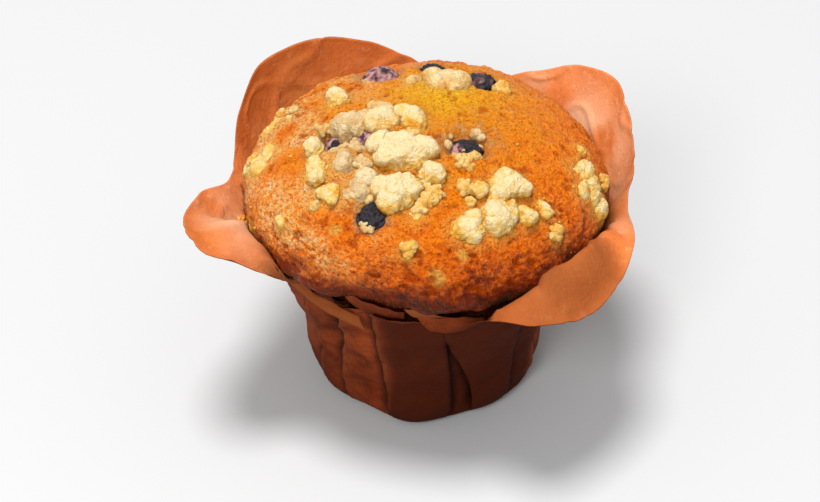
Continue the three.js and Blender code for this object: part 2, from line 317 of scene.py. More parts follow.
# The crumble nuggets: the part's lumps, softened, roughened and set a little into the crust.
crumbleLook = {
    "voxel": 0.25,
    "smoothing": 10,
    "grow": 0.3,
    "bigger": {
        "crumble_01": 0.5, "crumble_02": 0.4, "crumble_05": 0.8, "crumble_06": 0.8, "crumble_07": 0.6,
        "crumble_12": 0.6, "crumble_13": 0.7, "crumble_15": 0.9, "crumble_16": 0.3, "crumble_20": 1.1,
        "crumble_23": 0.4, "crumble_25": 0.8, "crumble_26": 0.9, "crumble_27": 0.3, "crumble_29": 1.6,
    },
    "sink": 0.8,  # into the crust
    "deeper": {
        "crumble_15": 1.9, "crumble_29": 2.8, "crumble_18": 0.6, "crumble_35": 0.8, "crumble_01": 0.3,
        "crumble_20": 0.6, "crumble_23": 0.7, "crumble_25": 0.9, "crumble_26": 1.1, "crumble_05": 0.4,
    },
    "dull": {  # how much batter is baked into them
        "crumble_05": 0.9, "crumble_11": 1, "crumble_12": 1, "crumble_13": 1, "crumble_14": 1,
        "crumble_20": 0.5, "crumble_06": 0.3, "crumble_38": 0.8, "crumble_21": 0.6,
    },
    "lumpSize": 3.0,
    "lumpRise": 1.0,
    "knobSize": 1.6,
    "knobRise": 0.5,
    "grainSize": 0.8,
    "grainRise": 0.5,
    "bendSize": 2.5,
    "grittySize": 3.5,
    "creamBase": 0.32,  # 0 is the darkest colour of crumble, toasted and in painted shade, and 1 the palest, with painted highlight
    # painted highlight and painted shade: how much paler knob tops, parts standing off the crust and
    # faces turned up are painted
    "creamOnGrain": 0.42,
    "creamOnHeight": 0.15,
    "creamOnTop": 0.1,
}


def softCopy(nodeName, name, voxel, passes):  # the part's own solid with an even, rounded skin
    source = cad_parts[nodeName]
    bm = bmesh.new()
    bm.from_mesh(source.data)
    bmesh.ops.remove_doubles(bm, verts=bm.verts, dist=0.01 * mm)
    piece = meshPiece(name, bm, [])
    remesh = piece.modifiers.new("even_skin", "REMESH")
    remesh.mode = "VOXEL"
    remesh.voxel_size = voxel * mm
    applyModifiers(piece)
    bm = bmesh.new()
    bm.from_mesh(piece.data)
    smoothPoints(bm, passes)
    return piece, bm


def putBack(piece, bm, material):
    bm.normal_update()
    bm.to_mesh(piece.data)
    bm.free()
    piece.data.materials.clear()
    piece.data.materials.append(material)
    piece.data.shade_smooth()


def makeNugget(nodeName, material):
    look = crumbleLook
    seed = int(nodeName[-2:]) * 3.7
    name = nodeName.replace("crumble", "crumble_nugget")
    piece, bm = softCopy(nodeName, name, look["voxel"], look["smoothing"])
    ground, outward = crustNear(nodeCentre(nodeName))
    grow = look["grow"] + look["bigger"].get(nodeName, 0)
    sink = look["sink"] + look["deeper"].get(nodeName, 0)
    cream = []
    for vert in bm.verts:
        place = vert.co / mm
        bent = place + outward * rough(place, look["bendSize"], seed)
        knob = knobs(bent, look["knobSize"], seed)
        grain = knobs(bent, look["grainSize"], seed)
        gritty = 0.5 + 0.5 * smoothStep(-0.2, 0.3, rough(place, look["grittySize"], seed + 50))
        rise = grow + look["lumpRise"] * rough(place, look["lumpSize"], seed)
        rise += look["knobRise"] * knob + look["grainRise"] * grain * gritty
        vert.co += (vert.normal * rise - outward * sink) * mm
        # paler on knob tops, away from the crust and on faces turned up, darker in creases and low down:
        # painted highlight and painted shade over the crumble's toasted colour
        tint = look["creamBase"] + look["creamOnGrain"] * (knob + grain)
        tint += look["creamOnHeight"] * (place - ground).dot(outward)
        tint += look["creamOnTop"] * vert.normal.z
        cream.append(tint)
    putBack(piece, bm, material)
    paintPoints(piece, "cream", cream)
    paintPoints(piece, "dull", [look["dull"].get(nodeName, 0.0)] * len(cream))
    install(piece, "crumble", nodeName)
    return piece


# The blueberries: wrinkled skins with batter baked onto parts of some of them.
berryLook = {
    "voxel": 0.17,
    "smoothing": 6,
    "grow": 0.1,
    "wrinkleSize": 1.35,
    "wrinkleRise": 0.5,
    "warpSize": 2.4,
    "dentSize": 3.4,
    "dentRise": 0.3,
    "batterSize": 2.6,
    "batterRise": 0.22,
    "batter": {  # how much of the skin is covered
        "blueberry_2": 0.14, "blueberry_3": 0.12, "blueberry_4": 0.3,
        "blueberry_5": 0.42, "blueberry_6": 0.1,
    },
    "sink": {
        "blueberry_1": 0.7, "blueberry_2": 1.5, "blueberry_3": 0.6,
        "blueberry_4": 0.5, "blueberry_7": 0.9,
    },
}


def wrinkle(place, size, seed):  # 1 along the crests of the skin's folds
    return 1 - 2.4 * abs(rough(place, size, seed))


def makeBerry(nodeName, material):
    look = berryLook
    seed = int(nodeName[-1]) * 5.3
    name = nodeName.replace("blueberry", "baked_blueberry")
    piece, bm = softCopy(nodeName, name, look["voxel"], look["smoothing"])
    outward = crustNear(nodeCentre(nodeName))[1]
    sink = look["sink"].get(nodeName, 0)
    amount = look["batter"].get(nodeName, 0.0)
    batter = []
    for vert in bm.verts:
        place = vert.co / mm
        warp = Vector([rough(place, look["warpSize"], seed + turn) for turn in (0, 9, 18)])
        fold = wrinkle(place + warp * 0.9, look["wrinkleSize"], seed)
        fold += 0.5 * wrinkle(place + warp * 0.5, look["wrinkleSize"] / 2, seed)
        smear = 0.5 + 0.55 * rough(place, look["batterSize"], seed + 30)
        cover = smoothStep(0.62 - amount, 0.82 - amount, smear)
        rise = look["grow"] + look["wrinkleRise"] * fold * (1 - 0.7 * cover)
        rise += look["dentRise"] * rough(place, look["dentSize"], seed + 4)
        rise += look["batterRise"] * cover
        vert.co += (vert.normal * rise - outward * sink) * mm
        batter.append(cover)
    putBack(piece, bm, material)
    paintPoints(piece, "batter", batter)
    install(piece, "berry", nodeName)


# The cake.
crustLook = {
    "lumps": ((11.0, 0.8), (5.0, 0.6), (2.4, 0.36), (1.2, 0.14)),  # size and rise
    "grainSize": 1.25,
    "grainRise": 0.42,
    "yellow": (4, 10, 12),  # where the crust baked least: across, back and how wide
    "dent": (253, 13, 3.0),  # under the front of the roll: azimuth, how wide and how deep
    "dentHeight": (45, 4.5),  # the dent's height, and how tall it is
    "pitSize": 2.6,
    "pitDepth": 0.5,
    "crackSize": 9.0,
    "crackDepth": 0.4,
    "rimRise": 0.4,
    "fillet": 0.45,  # how far the crust climbs the nuggets
    "spots": ((274, 77, 1.9), (282, 66, 1.2), (238, 60, 1.3)),  # crumble baked in: azimuth, tilt, size
}


def berrySeats():  # where each berry breaks the crust, how wide, and how deep the crumb falls there
    seats = []
    for name in berryNames:
        centre = nodeCentre(name)
        ground, outward = crustNear(centre)
        size = nodeSize(name)
        radius = max(size.x, size.y) / 2
        sunk = (ground - centre).dot(outward)
        hidden = smoothStep(0.3, 0.95, sunk / radius)
        seats.append((centre, outward, radius * (1.05 + 0.28 * hidden), 0.7 + 2.6 * hidden))
    return seats


def berryHollow(place, seats):  # how deep the crust falls round the berries, and how stained it is
    hole = 0.0
    stain = 0.0
    for centre, axis, radius, depth in seats:
        offset = place - centre
        if offset.length > 3 * radius + 4:
            continue
        away = (offset - axis * offset.dot(axis)).length * (1 + 0.3 * rough(place, 3.4, depth))
        hole += depth * (1 - smoothStep(0.55 * radius, 1.25 * radius, away))
        hole -= crustLook["rimRise"] * math.exp(-(((away - 1.45 * radius) / 1.3) ** 2))
        ragged = away + 1.6 * rough(place, 2.2, 3)
        stain = max(stain, 1 - smoothStep(0.9 * radius, 1.45 * radius, ragged))
    return hole, stain


def crustBreaks(place):  # how far a place is in a pit, and in a fine crack
    pit = smoothStep(0.36, 0.62, rough(place, crustLook["pitSize"], 31) + 0.5 * rough(place, 1.1, 5))
    fissure = abs(rough(place, crustLook["crackSize"], 50) + 0.25 * rough(place, 2.2, 8))
    crack = (1 - smoothStep(0.0, 0.05, fissure)) * smoothStep(0.0, 0.35, rough(place, 14, 77))
    return pit, crack


def butterAt(place, near, spots):  # 1 where the crust is buttery, from nuggets near it or baked into it
    butter = math.exp(-((near / 1.6) ** 2))
    for spot, size in spots:
        ragged = (place - spot).length / size * (1 + 0.5 * rough(place, 1.4, 44))
        butter = max(butter, 1.9 * math.exp(-(ragged**4)))
    return butter


def cakeInward(place, azimuth, share):  # how far the cake is drawn in, under its roll and in its cup
    dentAt, dentWide, dentDeep = crustLook["dent"]
    dentHeight, dentTall = crustLook["dentHeight"]
    aside = (math.degrees(azimuth) % 360 - dentAt) / dentWide
    below = (place.z - dentHeight) / dentTall
    inCup = smoothStep(cake["rollShare"], cake["rollShare"] + 0.03, share)
    byWall = smoothStep(4, 22, math.hypot(place.x, place.y))
    narrower = (drawnIn(place.z) + cake["clearance"]) * inCup * byWall
    return dentDeep * math.exp(-(aside**4) - below**4) + narrower


def makeCake(material, nuggets):
    look = crustLook
    seats = berrySeats()
    spots = []
    for azimuth, tilt, size in look["spots"]:
        spots.append((crustPoint(math.radians(azimuth), math.radians(tilt))[0], size))
    tree = pointTree(nuggets)
    right, back, wide = look["yellow"]
    painted = {"stain": [], "pit": [], "butter": [], "height": [], "yolk": [], "grain": [], "flour": []}
    bm = bmesh.new()
    bmesh.ops.create_cube(bm, size=2)
    bmesh.ops.subdivide_edges(bm, edges=bm.edges, cuts=cake["cuts"], use_grid_fill=True)
    for vert in bm.verts:
        direction = Vector([math.tan(value * math.pi / 4) for value in vert.co]).normalized()
        azimuth = math.atan2(direction.y, direction.x)
        share = math.acos(max(-1, min(1, direction.z))) / math.pi
        place, outward = cakePoint(azimuth, share)
        crusty = 1 - smoothStep(cake["rollShare"] - 0.04, cake["rollShare"] + 0.02, share)
        pit, crack = crustBreaks(place)
        hole, stain = berryHollow(place, seats)
        grain = knobs(place, look["grainSize"])
        near = tree.find(place)[2]
        rise = sum(depth * rough(place, size, size) for size, depth in look["lumps"])
        fillet = look["fillet"] * math.exp(-((near / 1.1) ** 2))
        rise += fillet - look["pitDepth"] * pit - look["crackDepth"] * crack - hole
        rise += look["grainRise"] * grain
        aside = Vector((place.x, place.y, 0)).normalized() * cakeInward(place, azimuth, share)
        vert.co = (place + outward * rise * crusty - aside) * mm
        yolk = math.exp(-(((place.x - right) ** 2 + (place.y - back) ** 2) / wide**2))
        # the left of the upper dome is painted paler: painted highlight where the light falls, in
        # patches that also stand for flour
        leftward = smoothStep(2, 26, -place.x) * smoothStep(46, 56, place.z)
        painted["yolk"].append(yolk * crusty)
        painted["grain"].append(grain + 0.5)
        painted["flour"].append(leftward * smoothStep(-0.5, 0.2, rough(place, 9, 90)))
        painted["stain"].append(stain)
        painted["pit"].append(max(pit, crack) * crusty)
        painted["butter"].append(butterAt(place, near, spots))
        painted["height"].append(place.z)
    piece = meshPiece("baked_cake", bm, [material])
    for name, values in painted.items():
        paintPoints(piece, name, values)
    install(piece, "crust", "muffin_cake")
    return piece


# The paper case. The free edge is given as on the part: how many dome overhangs outside the cup's
# rim and how many shoulder rises above it, by azimuth in degrees.
paper = {
    "thickness": 0.14,
    "footRadius": 26.0,
    "footCorner": 4.0,
    "waist": (17, 10, 1.4),  # where the cup is drawn in round the cake: height, how tall, how deep
    "rimRadius": 34.3,
    "rimHeight": 38.0,
    "petalLean": 60,
    "overhang": 7.2,
    "shoulderRise": 10.5,
    "columnsPerPleat": 18,
    "footRows": 14,
    "wallRows": 40,
    "petalRows": 56,
    "foldColumns": 4,  # of those, the ones folded under
    "overlap": 5.0,  # degrees that a pleat covers its neighbour
    "shadeWidth": 0.26,  # of a panel that is darkened beside the fold over it
    "layers": (-0.8, 0.1, 1.0),  # how far each layer of a pleat stands out
    "bow": 0.4,
    "faded": ((32, 34, 12, 11), (196, 15, 13, 8), (350, 7, 12, 8)),  # painted sheen on the petals: azimuth, width, reach, depth
    "hugAt": (5.2, 8.3),  # past the rim, where a petal climbs the side of the dome
    # How high the petal lies there, by azimuth; 0 where it hangs free.
    "hug": (
        (0, 0), (188, 0), (194, 46.5), (199, 49.5), (205, 49.8), (210, 49.0), (215, 48.0), (220, 46.5),
        (228, 0), (284, 0), (287, 44.2), (291, 45.6), (295, 46.8), (300, 48.1), (307, 49.6), (313, 50.4),
        (320, 50.6), (328, 50.3), (336, 49.0), (345, 46.0), (354, 0), (360, 0),
    ),
    "dusk": ((246, 338, 0.9), (335, 375, 0.35), (183, 250, 0.42)),  # painted shade, on the front-right petal partly grease stain: from, to, how much
    "crumple": ((6.5, 0.55), (6.0, 1.1), (2.3, 0.24)),  # size and rise of waves, ridges, fine waves
    "crumpledAt": (232, 24, 0.9),  # where the cup is crumpled more: azimuth, width, how much more
    "sway": 0.8,
    "buckle": 0.4,
    "corners": ((263, 13, 1.3), (236, 13, -1.0), (293, 13, -0.6)),  # of the foot: azimuth, width, rise
}
edgeStations = (
    (8, 1.94, 1.62), (18, 2.15, 2.05), (31, 2.47, 2.26), (44, 2.39, 2.08), (58, 2.18, 1.54),
    (72, 1.76, 1.12), (84, 1.74, 0.95), (95, 1.74, 1.67), (108, 1.67, 2.24), (122, 1.64, 2.59),
    (134, 1.69, 2.65), (146, 1.81, 2.57), (158, 1.71, 1.93), (172, 1.6, 0.86), (187, 2.43, 1.24),
    (197, 2.99, 1.33), (205, 3.19, 1.43), (211, 2.99, 1.24), (215, 1.94, 0.86), (220, 0.49, 0.24),
    (228, 0.19, 0.14), (250, 0.17, 0.14), (275, 0.19, 0.14), (286, 0.42, 0.19), (291, 1.81, 0.67),
    (296, 2.43, 0.76), (312, 2.46, 0.41), (326, 2.36, 0.57), (339, 2.14, 0.9), (351, 1.69, 1.14),
)
# Each pleat's fold line: azimuth at the rim, azimuth at the foot, and which side lies on top.
pleats = (
    (12, 15, 1), (31, 29, 1), (49, 52, 1), (68, 67, 1), (94, 95, -1), (115, 117, -1), (134, 132, -1),
    (153, 155, -1), (174, 170, -1), (197, 193, -1), (220, 212, -1), (239, 228, -1), (253, 255, -1),
    (275, 281, 1), (279, 298, -1), (308, 314, 1), (330, 335, 1), (351, 353, 1),
)


def drawnIn(height):  # how far the cup and the cake in it are drawn in
    waistAt, tall, deep = paper["waist"]
    return deep * math.exp(-(((height - waistAt) / tall) ** 2))


def edgeAt(azimuth, column):  # a smooth curve through the free edge's stations
    count = len(edgeStations)
    turned = edgeStations[0][0] + (azimuth - edgeStations[0][0]) % 360
    index = max(i for i in range(count) if edgeStations[i][0] <= turned)
    before, start, end, after = (edgeStations[(index + step) % count] for step in (-1, 0, 1, 2))
    share = (turned - start[0]) / ((end[0] - start[0]) % 360)
    leave = 0.35 * (end[column] - before[column])
    arrive = 0.35 * (after[column] - start[column])
    cube = share**3
    square = share**2
    value = (2 * cube - 3 * square + 1) * start[column] + (cube - 2 * square + share) * leave
    return value + (3 * square - 2 * cube) * end[column] + (cube - square) * arrive


def hugHeight(azimuth):
    turned = azimuth % 360
    for (start, low), (end, high) in zip(paper["hug"], paper["hug"][1:]):
        if start <= turned <= end:
            if low == high == 0:
                return 0.0
            low = low or paper["rimHeight"]
            high = high or paper["rimHeight"]
            return low + (high - low) * smoothStep(0, 1, (turned - start) / (end - start))
    return 0.0


def petalRow(azimuth, share):  # what paperRow gives, for a share of the way along a petal
    out = edgeAt(azimuth, 1) * paper["overhang"]
    up = edgeAt(azimuth, 2) * paper["shoulderRise"]
    lean = math.radians(paper["petalLean"])
    reach = math.hypot(out, up) / 2
    bendX, bendZ = reach * math.sin(lean), reach * math.cos(lean)
    x = 2 * share * (1 - share) * bendX + share**2 * out
    z = 2 * share * (1 - share) * bendZ + share**2 * up
    runX = (1 - share) * bendX + share * (out - bendX)
    runZ = (1 - share) * bendZ + share * (up - bendZ)
    length = math.hypot(runX, runZ)
    past = math.hypot(x, z)
    start, crest = paper["hugAt"]
    height = hugHeight(azimuth)
    if height > 0 and out > crest + 1:
        spread = out - 2 * bendX
        at = crest / out
        if abs(spread) > 0.01:
            at = (math.sqrt(bendX**2 + spread * crest) - bendX) / spread
        lift = height - paper["rimHeight"] - 2 * at * (1 - at) * bendZ - at**2 * up
        climbed = max(lift, 0) * smoothStep(start, crest, x) * (1 - smoothStep(crest, out, x))
        z += climbed * smoothStep(crest + 1, 12, out)
    run = (runX / length, runZ / length)
    return paper["rimRadius"] + x, paper["rimHeight"] + z, run, past, 1 - smoothStep(1, 15, past)


def paperRow(azimuth, row):  # radius, height, run direction, distance past the rim, how tightly folded
    corner = paper["footCorner"]
    centre = paper["footRadius"] - corner
    wallX = paper["rimRadius"] - paper["footRadius"]
    wallZ = paper["rimHeight"] - corner
    wallLength = math.hypot(wallX, wallZ)
    if row <= paper["footRows"]:
        share = row / paper["footRows"]
        if share < 0.5:
            radius = centre * share / 0.5
            return radius, 0.0, (1, 0), 0.0, 0.0
        angle = (share - 0.5) / 0.5 * math.pi / 2
        folded = smoothStep(0.55, 1.0, share)
        radius = centre + corner * math.sin(angle)
        return radius, corner * (1 - math.cos(angle)), (math.cos(angle), math.sin(angle)), 0.0, folded
    if row <= paper["footRows"] + paper["wallRows"]:
        share = (row - paper["footRows"]) / paper["wallRows"]
        run = (wallX / wallLength, wallZ / wallLength)
        return paper["footRadius"] + wallX * share, corner + wallZ * share, run, 0.0, 1.0
    return petalRow(azimuth, (row - paper["footRows"] - paper["wallRows"]) / paper["petalRows"])


# Climb runs from 0 at the foot to 1 at the rim. Gives the azimuth unfolded and folded, how far the
# layer stands out, and how much painted shade (above 0) and painted highlight (below 0) lies along
# the fold.
def pleatColumn(column, climb):
    per = paper["columnsPerPleat"]
    count = len(pleats)
    cell, step = divmod(column % (count * per), per)
    here, there = pleats[cell], pleats[(cell + 1) % count]
    hereOnTop, thereOnTop = here[2] > 0, there[2] > 0
    turn = 360 * (1 if cell == count - 1 else 0)
    start = here[1] + (here[0] - here[1]) * climb
    end = there[1] + (there[0] - there[1]) * climb + turn
    low, middle, high = paper["layers"]
    overlap = paper["overlap"] * (1 + 0.5 * rough((cell * 3.1, 0, 0), 1, 9))
    leaveLayer = low if hereOnTop else high
    reachLayer = high if thereOnTop else low
    flatStart = here[0] * climb + here[1] * (1 - climb)
    unfolded = flatStart + (end - flatStart) * step / per
    panel = per - paper["foldColumns"]
    if step > panel:
        share = (step - panel) / paper["foldColumns"]
        layer = middle + 0.06 * (0.5 - share) * there[2]
        return unfolded, end + overlap / 2 - overlap * share, layer, 1.0
    share = step / panel
    first, last = start - overlap / 2, end + overlap / 2
    layer = leaveLayer + (reachLayer - leaveLayer) * share + paper["bow"] * math.sin(math.pi * share)
    hidden = overlap / (last - first)
    shaded = hidden + paper["shadeWidth"]
    # painted shade on a panel beside the fold that lies over it, painted highlight along the panel's own
    # folded edges
    crease = (1 - smoothStep(hidden, shaded, share)) * hereOnTop
    crease += smoothStep(1 - shaded, 1 - hidden, share) * (not thereOnTop)
    crease -= 0.6 * math.exp(-share * 26) * (not hereOnTop)
    crease -= 0.6 * math.exp((share - 1) * 26) * thereOnTop
    return unfolded, first + (last - first) * share, layer, crease


def crumpleAt(place, degrees):
    (wave, waveRise), (ridge, ridgeRise), (fine, fineRise) = paper["crumple"]
    middle, wide, more = paper["crumpledAt"]
    crush = waveRise * rough(place, wave, 2) + ridgeRise * (0.2 - abs(rough(place, ridge, 16)))
    crush += fineRise * rough(place, fine, 6)
    crush *= 0.4 + 0.6 * smoothStep(1, 12, place.z)
    return crush * (1 + more * math.exp(-(((degrees - middle) / wide) ** 2)))


def petalSheenAt(place, degrees, past):  # how much painted sheen lightens the petals
    faded = 0.0
    for middle, wide, reach, deep in paper["faded"]:
        aside = (degrees - middle) / wide
        faded = max(faded, math.exp(-(aside**2) - ((past - reach) / deep) ** 2))
    return faded * smoothStep(-0.6, 0.4, rough(place, 9, 70)) * smoothStep(0.5, 4, past)


def shadeAndMottleAt(place, azimuth, past):  # how much the paper is darkened: painted shade by azimuth, random mottle on the cup, darker towards the foot
    dusk = 0.0
    for start, end, amount in paper["dusk"]:
        turned = start + (math.degrees(azimuth) - start) % 360
        rising = amount * smoothStep(start - 1, start + 12, turned)
        dusk = max(dusk, rising * (1 - smoothStep(end - 12, end + 1, turned)))
    onCup = 1 - smoothStep(0, 1, past)
    mottled = 0.5 * rough(place, 8, 33) * (1 - dusk) + 0.25 * (1 - smoothStep(2, 22, place.z))
    return dusk * (1 + 0.3 * onCup) + onCup * mottled


def makeCase(insideMaterial, outsideMaterial):
    columns = paper["columnsPerPleat"] * len(pleats)
    rows = paper["footRows"] + paper["wallRows"] + paper["petalRows"]
    bm = bmesh.new()
    bmesh.ops.create_grid(bm, x_segments=columns, y_segments=rows, size=0.5)
    foldShadeLayer = bm.verts.layers.float.new("crease")
    petalSheenLayer = bm.verts.layers.float.new("faded")
    shadeAndMottleLayer = bm.verts.layers.float.new("dusk")
    for vert in bm.verts:
        column = round((vert.co.x + 0.5) * columns)
        row = round((vert.co.y + 0.5) * rows)
        climb = smoothStep(0, 1, (row - paper["footRows"]) / paper["wallRows"])
        unfolded, folded, layer, crease = pleatColumn(column, climb)
        radius, height, run, past, tight = paperRow(unfolded, row)
        azimuth = math.radians(unfolded + (folded - unfolded) * tight)
        degrees = math.degrees(azimuth) % 360
        turn = Vector((math.cos(azimuth), math.sin(azimuth), 0))
        low = smoothStep(0, 22, radius) * (1 - smoothStep(4, 34, height))
        for cornerAt, wide, out in paper["corners"]:
            radius += low * out * math.exp(-(((degrees - cornerAt) / wide) ** 2))
        place = turn * (radius - drawnIn(height) * smoothStep(4, 22, radius)) + Vector((0, 0, height))
        outward = turn * run[1] - Vector((0, 0, run[0]))
        onWall = smoothStep(paper["footRows"] * 0.6, paper["footRows"] + 3, row)
        loose = smoothStep(4, 16, past)
        # painted shade and painted highlight along the folds
        vert[foldShadeLayer] = crease * tight * onWall
        # painted sheen where the light catches the petals
        vert[petalSheenLayer] = petalSheenAt(place, degrees, past)
        vert[shadeAndMottleLayer] = shadeAndMottleAt(place, azimuth, past)
        sway = paper["sway"] * loose * rough(place, 17, 12)
        sway -= paper["buckle"] * loose * (1 - smoothStep(0, 0.12, abs(rough(place, 13, 21))))
        rise = layer * tight * onWall + crumpleAt(place, degrees) * onWall * (1 - loose) + sway
        vert.co = (place + outward * rise) * mm
    bmesh.ops.remove_doubles(bm, verts=bm.verts, dist=0.002 * mm)
    bmesh.ops.recalc_face_normals(bm, faces=bm.faces)
    piece = meshPiece("tulip_paper", bm, [outsideMaterial, insideMaterial])
    wall = piece.modifiers.new("paper_thickness", "SOLIDIFY")
    wall.thickness = paper["thickness"] * mm
    wall.offset = -1
    wall.material_offset = 1
    wall.use_even_offset = False
    install(piece, "paper", "paper_case")


# Turned-over bits of the case's rim: each is a strip between two edges, given as azimuth, radius and
# height, and lies with the paper's inside (1) or its outside (0) to the front.
rimFolds = (
    (1, ((209, 37.9, 40.9), (222, 36.7, 40.2), (236, 36.5, 39.4), (247, 36.6, 38.4)),
        ((209, 37.8, 40.1), (222, 37.4, 38.3), (236, 37.6, 37.0), (250, 37.3, 35.6))),
    (0, ((239, 35.9, 43.6), (248, 37.0, 43.1), (257, 37.2, 42.4), (263, 36.4, 41.2)),
        ((246, 34.9, 38.5), (251, 35.0, 38.4), (257, 35.1, 38.4), (263, 35.2, 38.4))),
    (0, ((267, 36.4, 40.4), (275, 37.0, 40.5), (283, 37.1, 40.1), (291, 36.5, 38.3)),
        ((272, 37.2, 36.9), (277, 37.7, 36.4), (284, 37.6, 36.8), (291, 36.7, 37.7))),
    (1, ((263, 37.0, 42.6), (268, 38.2, 43.6), (272, 38.4, 42.9)),
        ((267, 35.6, 39.6), (271, 35.9, 39.6), (279, 36.2, 39.7))),
)


def alongEdge(stops, share):
    spot = share * (len(stops) - 1)
    index = min(int(spot), len(stops) - 2)
    start, end = stops[index], stops[index + 1]
    azimuth, radius, height = (a + (b - a) * (spot - index) for a, b in zip(start, end))
    turn = math.radians(azimuth)
    return Vector((radius * math.cos(turn), radius * math.sin(turn), height))


def makeRimFolds(insideMaterial, outsideMaterial):
    bm = bmesh.new()
    foldShadeLayer = bm.verts.layers.float.new("crease")
    shadeAndMottleLayer = bm.verts.layers.float.new("dusk")
    for side, upper, lower in rimFolds:
        made = bmesh.ops.create_grid(bm, x_segments=36, y_segments=10, size=0.5)["verts"]
        for vert in made:
            across, up = vert.co.x + 0.5, vert.co.y + 0.5
            place = alongEdge(lower, across).lerp(alongEdge(upper, across), up)
            outward = Vector((place.x, place.y, 0)).normalized()
            bulge = 0.5 * math.sin(math.pi * up) + 0.3 * rough(place, 3.2, side + 40)
            bulge += 0.12 * rough(place, 1.4, 8)
            ragged = 0.35 * rough(place, 2.6, 60) * (up > 0.9)
            vert.co = (place + outward * bulge + Vector((0, 0, ragged))) * mm
            # painted shade over the strips, most low down on those showing the paper's outside, which
            # get a painted highlight along the top edge
            vert[foldShadeLayer] = 0.3 if side else 0.5 * (1 - up) ** 2 - 0.3 * up**8
            # painted shade on the turned-over strips
            vert[shadeAndMottleLayer] = 1.0 if side else 0.4 + 0.6 * across
        for face in {face for vert in made for face in vert.link_faces}:
            face.material_index = side
    bmesh.ops.recalc_face_normals(bm, faces=bm.faces)
    piece = meshPiece("rim_folds", bm, [outsideMaterial, insideMaterial])
    wall = piece.modifiers.new("paper_thickness", "SOLIDIFY")
    wall.thickness = paper["thickness"] * mm
    wall.offset = 0
    install(piece, "paper")


# Loose crumbs: pale ones baked onto the crust, tufts of crumb and batter, and brown crumbs in the
# gaps between paper and cake.
looseLook = {
    "pale": 300,
    "brown": 220,
    "smallest": 0.12,
    "largest": 0.42,
    "gaps": ((176, 200), (344, 364)),  # azimuths where brown crumbs lie
    "tuftVoxel": 0.2,
    "tuftSmoothing": 4,
}
# Each tuft's azimuth and tilt on the crust, its size across and how much batter is in it.
tufts = (
    (326, 17, 2.4, 1.0), (309, 16, 2.6, 1.0), (297, 24, 4.4, 0.3), (305, 24, 3.4, 0.2),
    (122, 33, 3.0, 0.8), (249, 54, 2.2, 0.8), (238, 41, 2.6, 0.9), (256, 42, 3.4, 0.3),
    (261, 39, 2.6, 0.2), (271, 39, 3.2, 0.2), (275, 36, 3.0, 0.2), (268, 43, 2.4, 0.3),
    (161, 48, 2.4, 0.6), (290, 35, 2.6, 0.2), (290, 42, 1.8, 0.2), (313, 41, 3.2, 0.1),
    (39, 30, 2.6, 0.2), (75, 17, 3.6, 0.5), (163, 13, 3.8, 0.7), (214, 20, 3.2, 1.0),
    (220, 25, 3.4, 0.9), (232, 29, 3.4, 0.9), (182, 66, 3.0, 0.2), (212, 30, 3.0, 0.8),
    (265, 61, 2.2, 0.1), (316, 69, 2.4, 0.2), (250, 12, 4.2, 0.2), (190, 30, 2.8, 0.5),
    (300, 45, 2.4, 0.1), (305, 49, 2.6, 0.1), (243, 41, 2.4, 0.5), (227, 55, 1.6, 0.4),
    (345, 62, 3.0, 0.2), (350, 72, 2.6, 0.2),
)


def addCrumb(bm, place, outward, size):
    turn = Matrix.Rotation(random.uniform(0, 6.28), 4, "Z")
    turn = turn @ Matrix.Rotation(random.uniform(0, 3), 4, "X")
    scales = [random.uniform(low, high) for low, high in ((0.7, 1.3), (0.7, 1.2), (0.6, 1))]
    stretch = Matrix.Diagonal((*scales, 1))
    move = Matrix.Translation((place + outward * size * 0.35) * mm)
    made = bmesh.ops.create_icosphere(bm, subdivisions=1, radius=size * mm, matrix=move @ turn @ stretch)
    return made["verts"]


def makePaleCrumbs(material, ground):
    bm = bmesh.new()
    butter = ground.data.attributes["butter"].data
    count = 0
    spread = looseLook["largest"] - looseLook["smallest"]
    while count < looseLook["pale"]:
        vert = ground.data.vertices[random.randrange(len(ground.data.vertices))]
        place = vert.co / mm
        if place.z < cake["ringHeight"] + 1 or random.random() > 0.06 + 0.9 * butter[vert.index].value:
            continue
        size = looseLook["smallest"] + spread * random.random() ** 3
        addCrumb(bm, place, vert.normal, size)
        count += 1
    piece = meshPiece("pale_crumbs", bm, [material])
    paintPoints(piece, "cream", [0.5] * len(piece.data.vertices))
    install(piece, "crumble")


def makeTufts(material, ground):  # bits of crumb and batter run together round the berries and nuggets
    tree = pointTree([ground])
    bm = bmesh.new()
    middles = []
    for azimuth, tilt, wide, mixed in tufts:
        middle, outward = crustPoint(math.radians(azimuth), math.radians(tilt))
        middles.append((middle, wide, mixed))
        for _ in range(int(11 * wide)):
            away = Vector((random.gauss(0, 1), random.gauss(0, 1), random.gauss(0, 1))) * wide * 0.23
            spot = tree.find(middle + away)[0]
            lift = max(0, 1 - away.length / (0.5 * wide)) * 0.2 * wide
            addCrumb(bm, spot + outward * lift * random.random(), outward, random.uniform(0.45, 0.9))
    piece = meshPiece("batter_tufts", bm, [])
    remesh = piece.modifiers.new("run_together", "REMESH")
    remesh.mode = "VOXEL"
    remesh.voxel_size = looseLook["tuftVoxel"] * mm
    applyModifiers(piece)
    bm = bmesh.new()
    bm.from_mesh(piece.data)
    smoothPoints(bm, looseLook["tuftSmoothing"])
    dull = []
    cream = []
    for vert in bm.verts:
        place = vert.co / mm
        mixed = min(middles, key=lambda tuft: (tuft[0] - place).length / tuft[1])[2]
        grain = knobs(place, 0.9, 3)
        vert.co += vert.normal * (0.3 * grain + 0.3) * mm
        dull.append(mixed)
        # paler on knob tops and darker between them: painted highlight and painted shade
        cream.append(0.6 + 0.5 * grain)
    putBack(piece, bm, material)
    paintPoints(piece, "dull", dull)
    paintPoints(piece, "cream", cream)
    install(piece, "crumble")


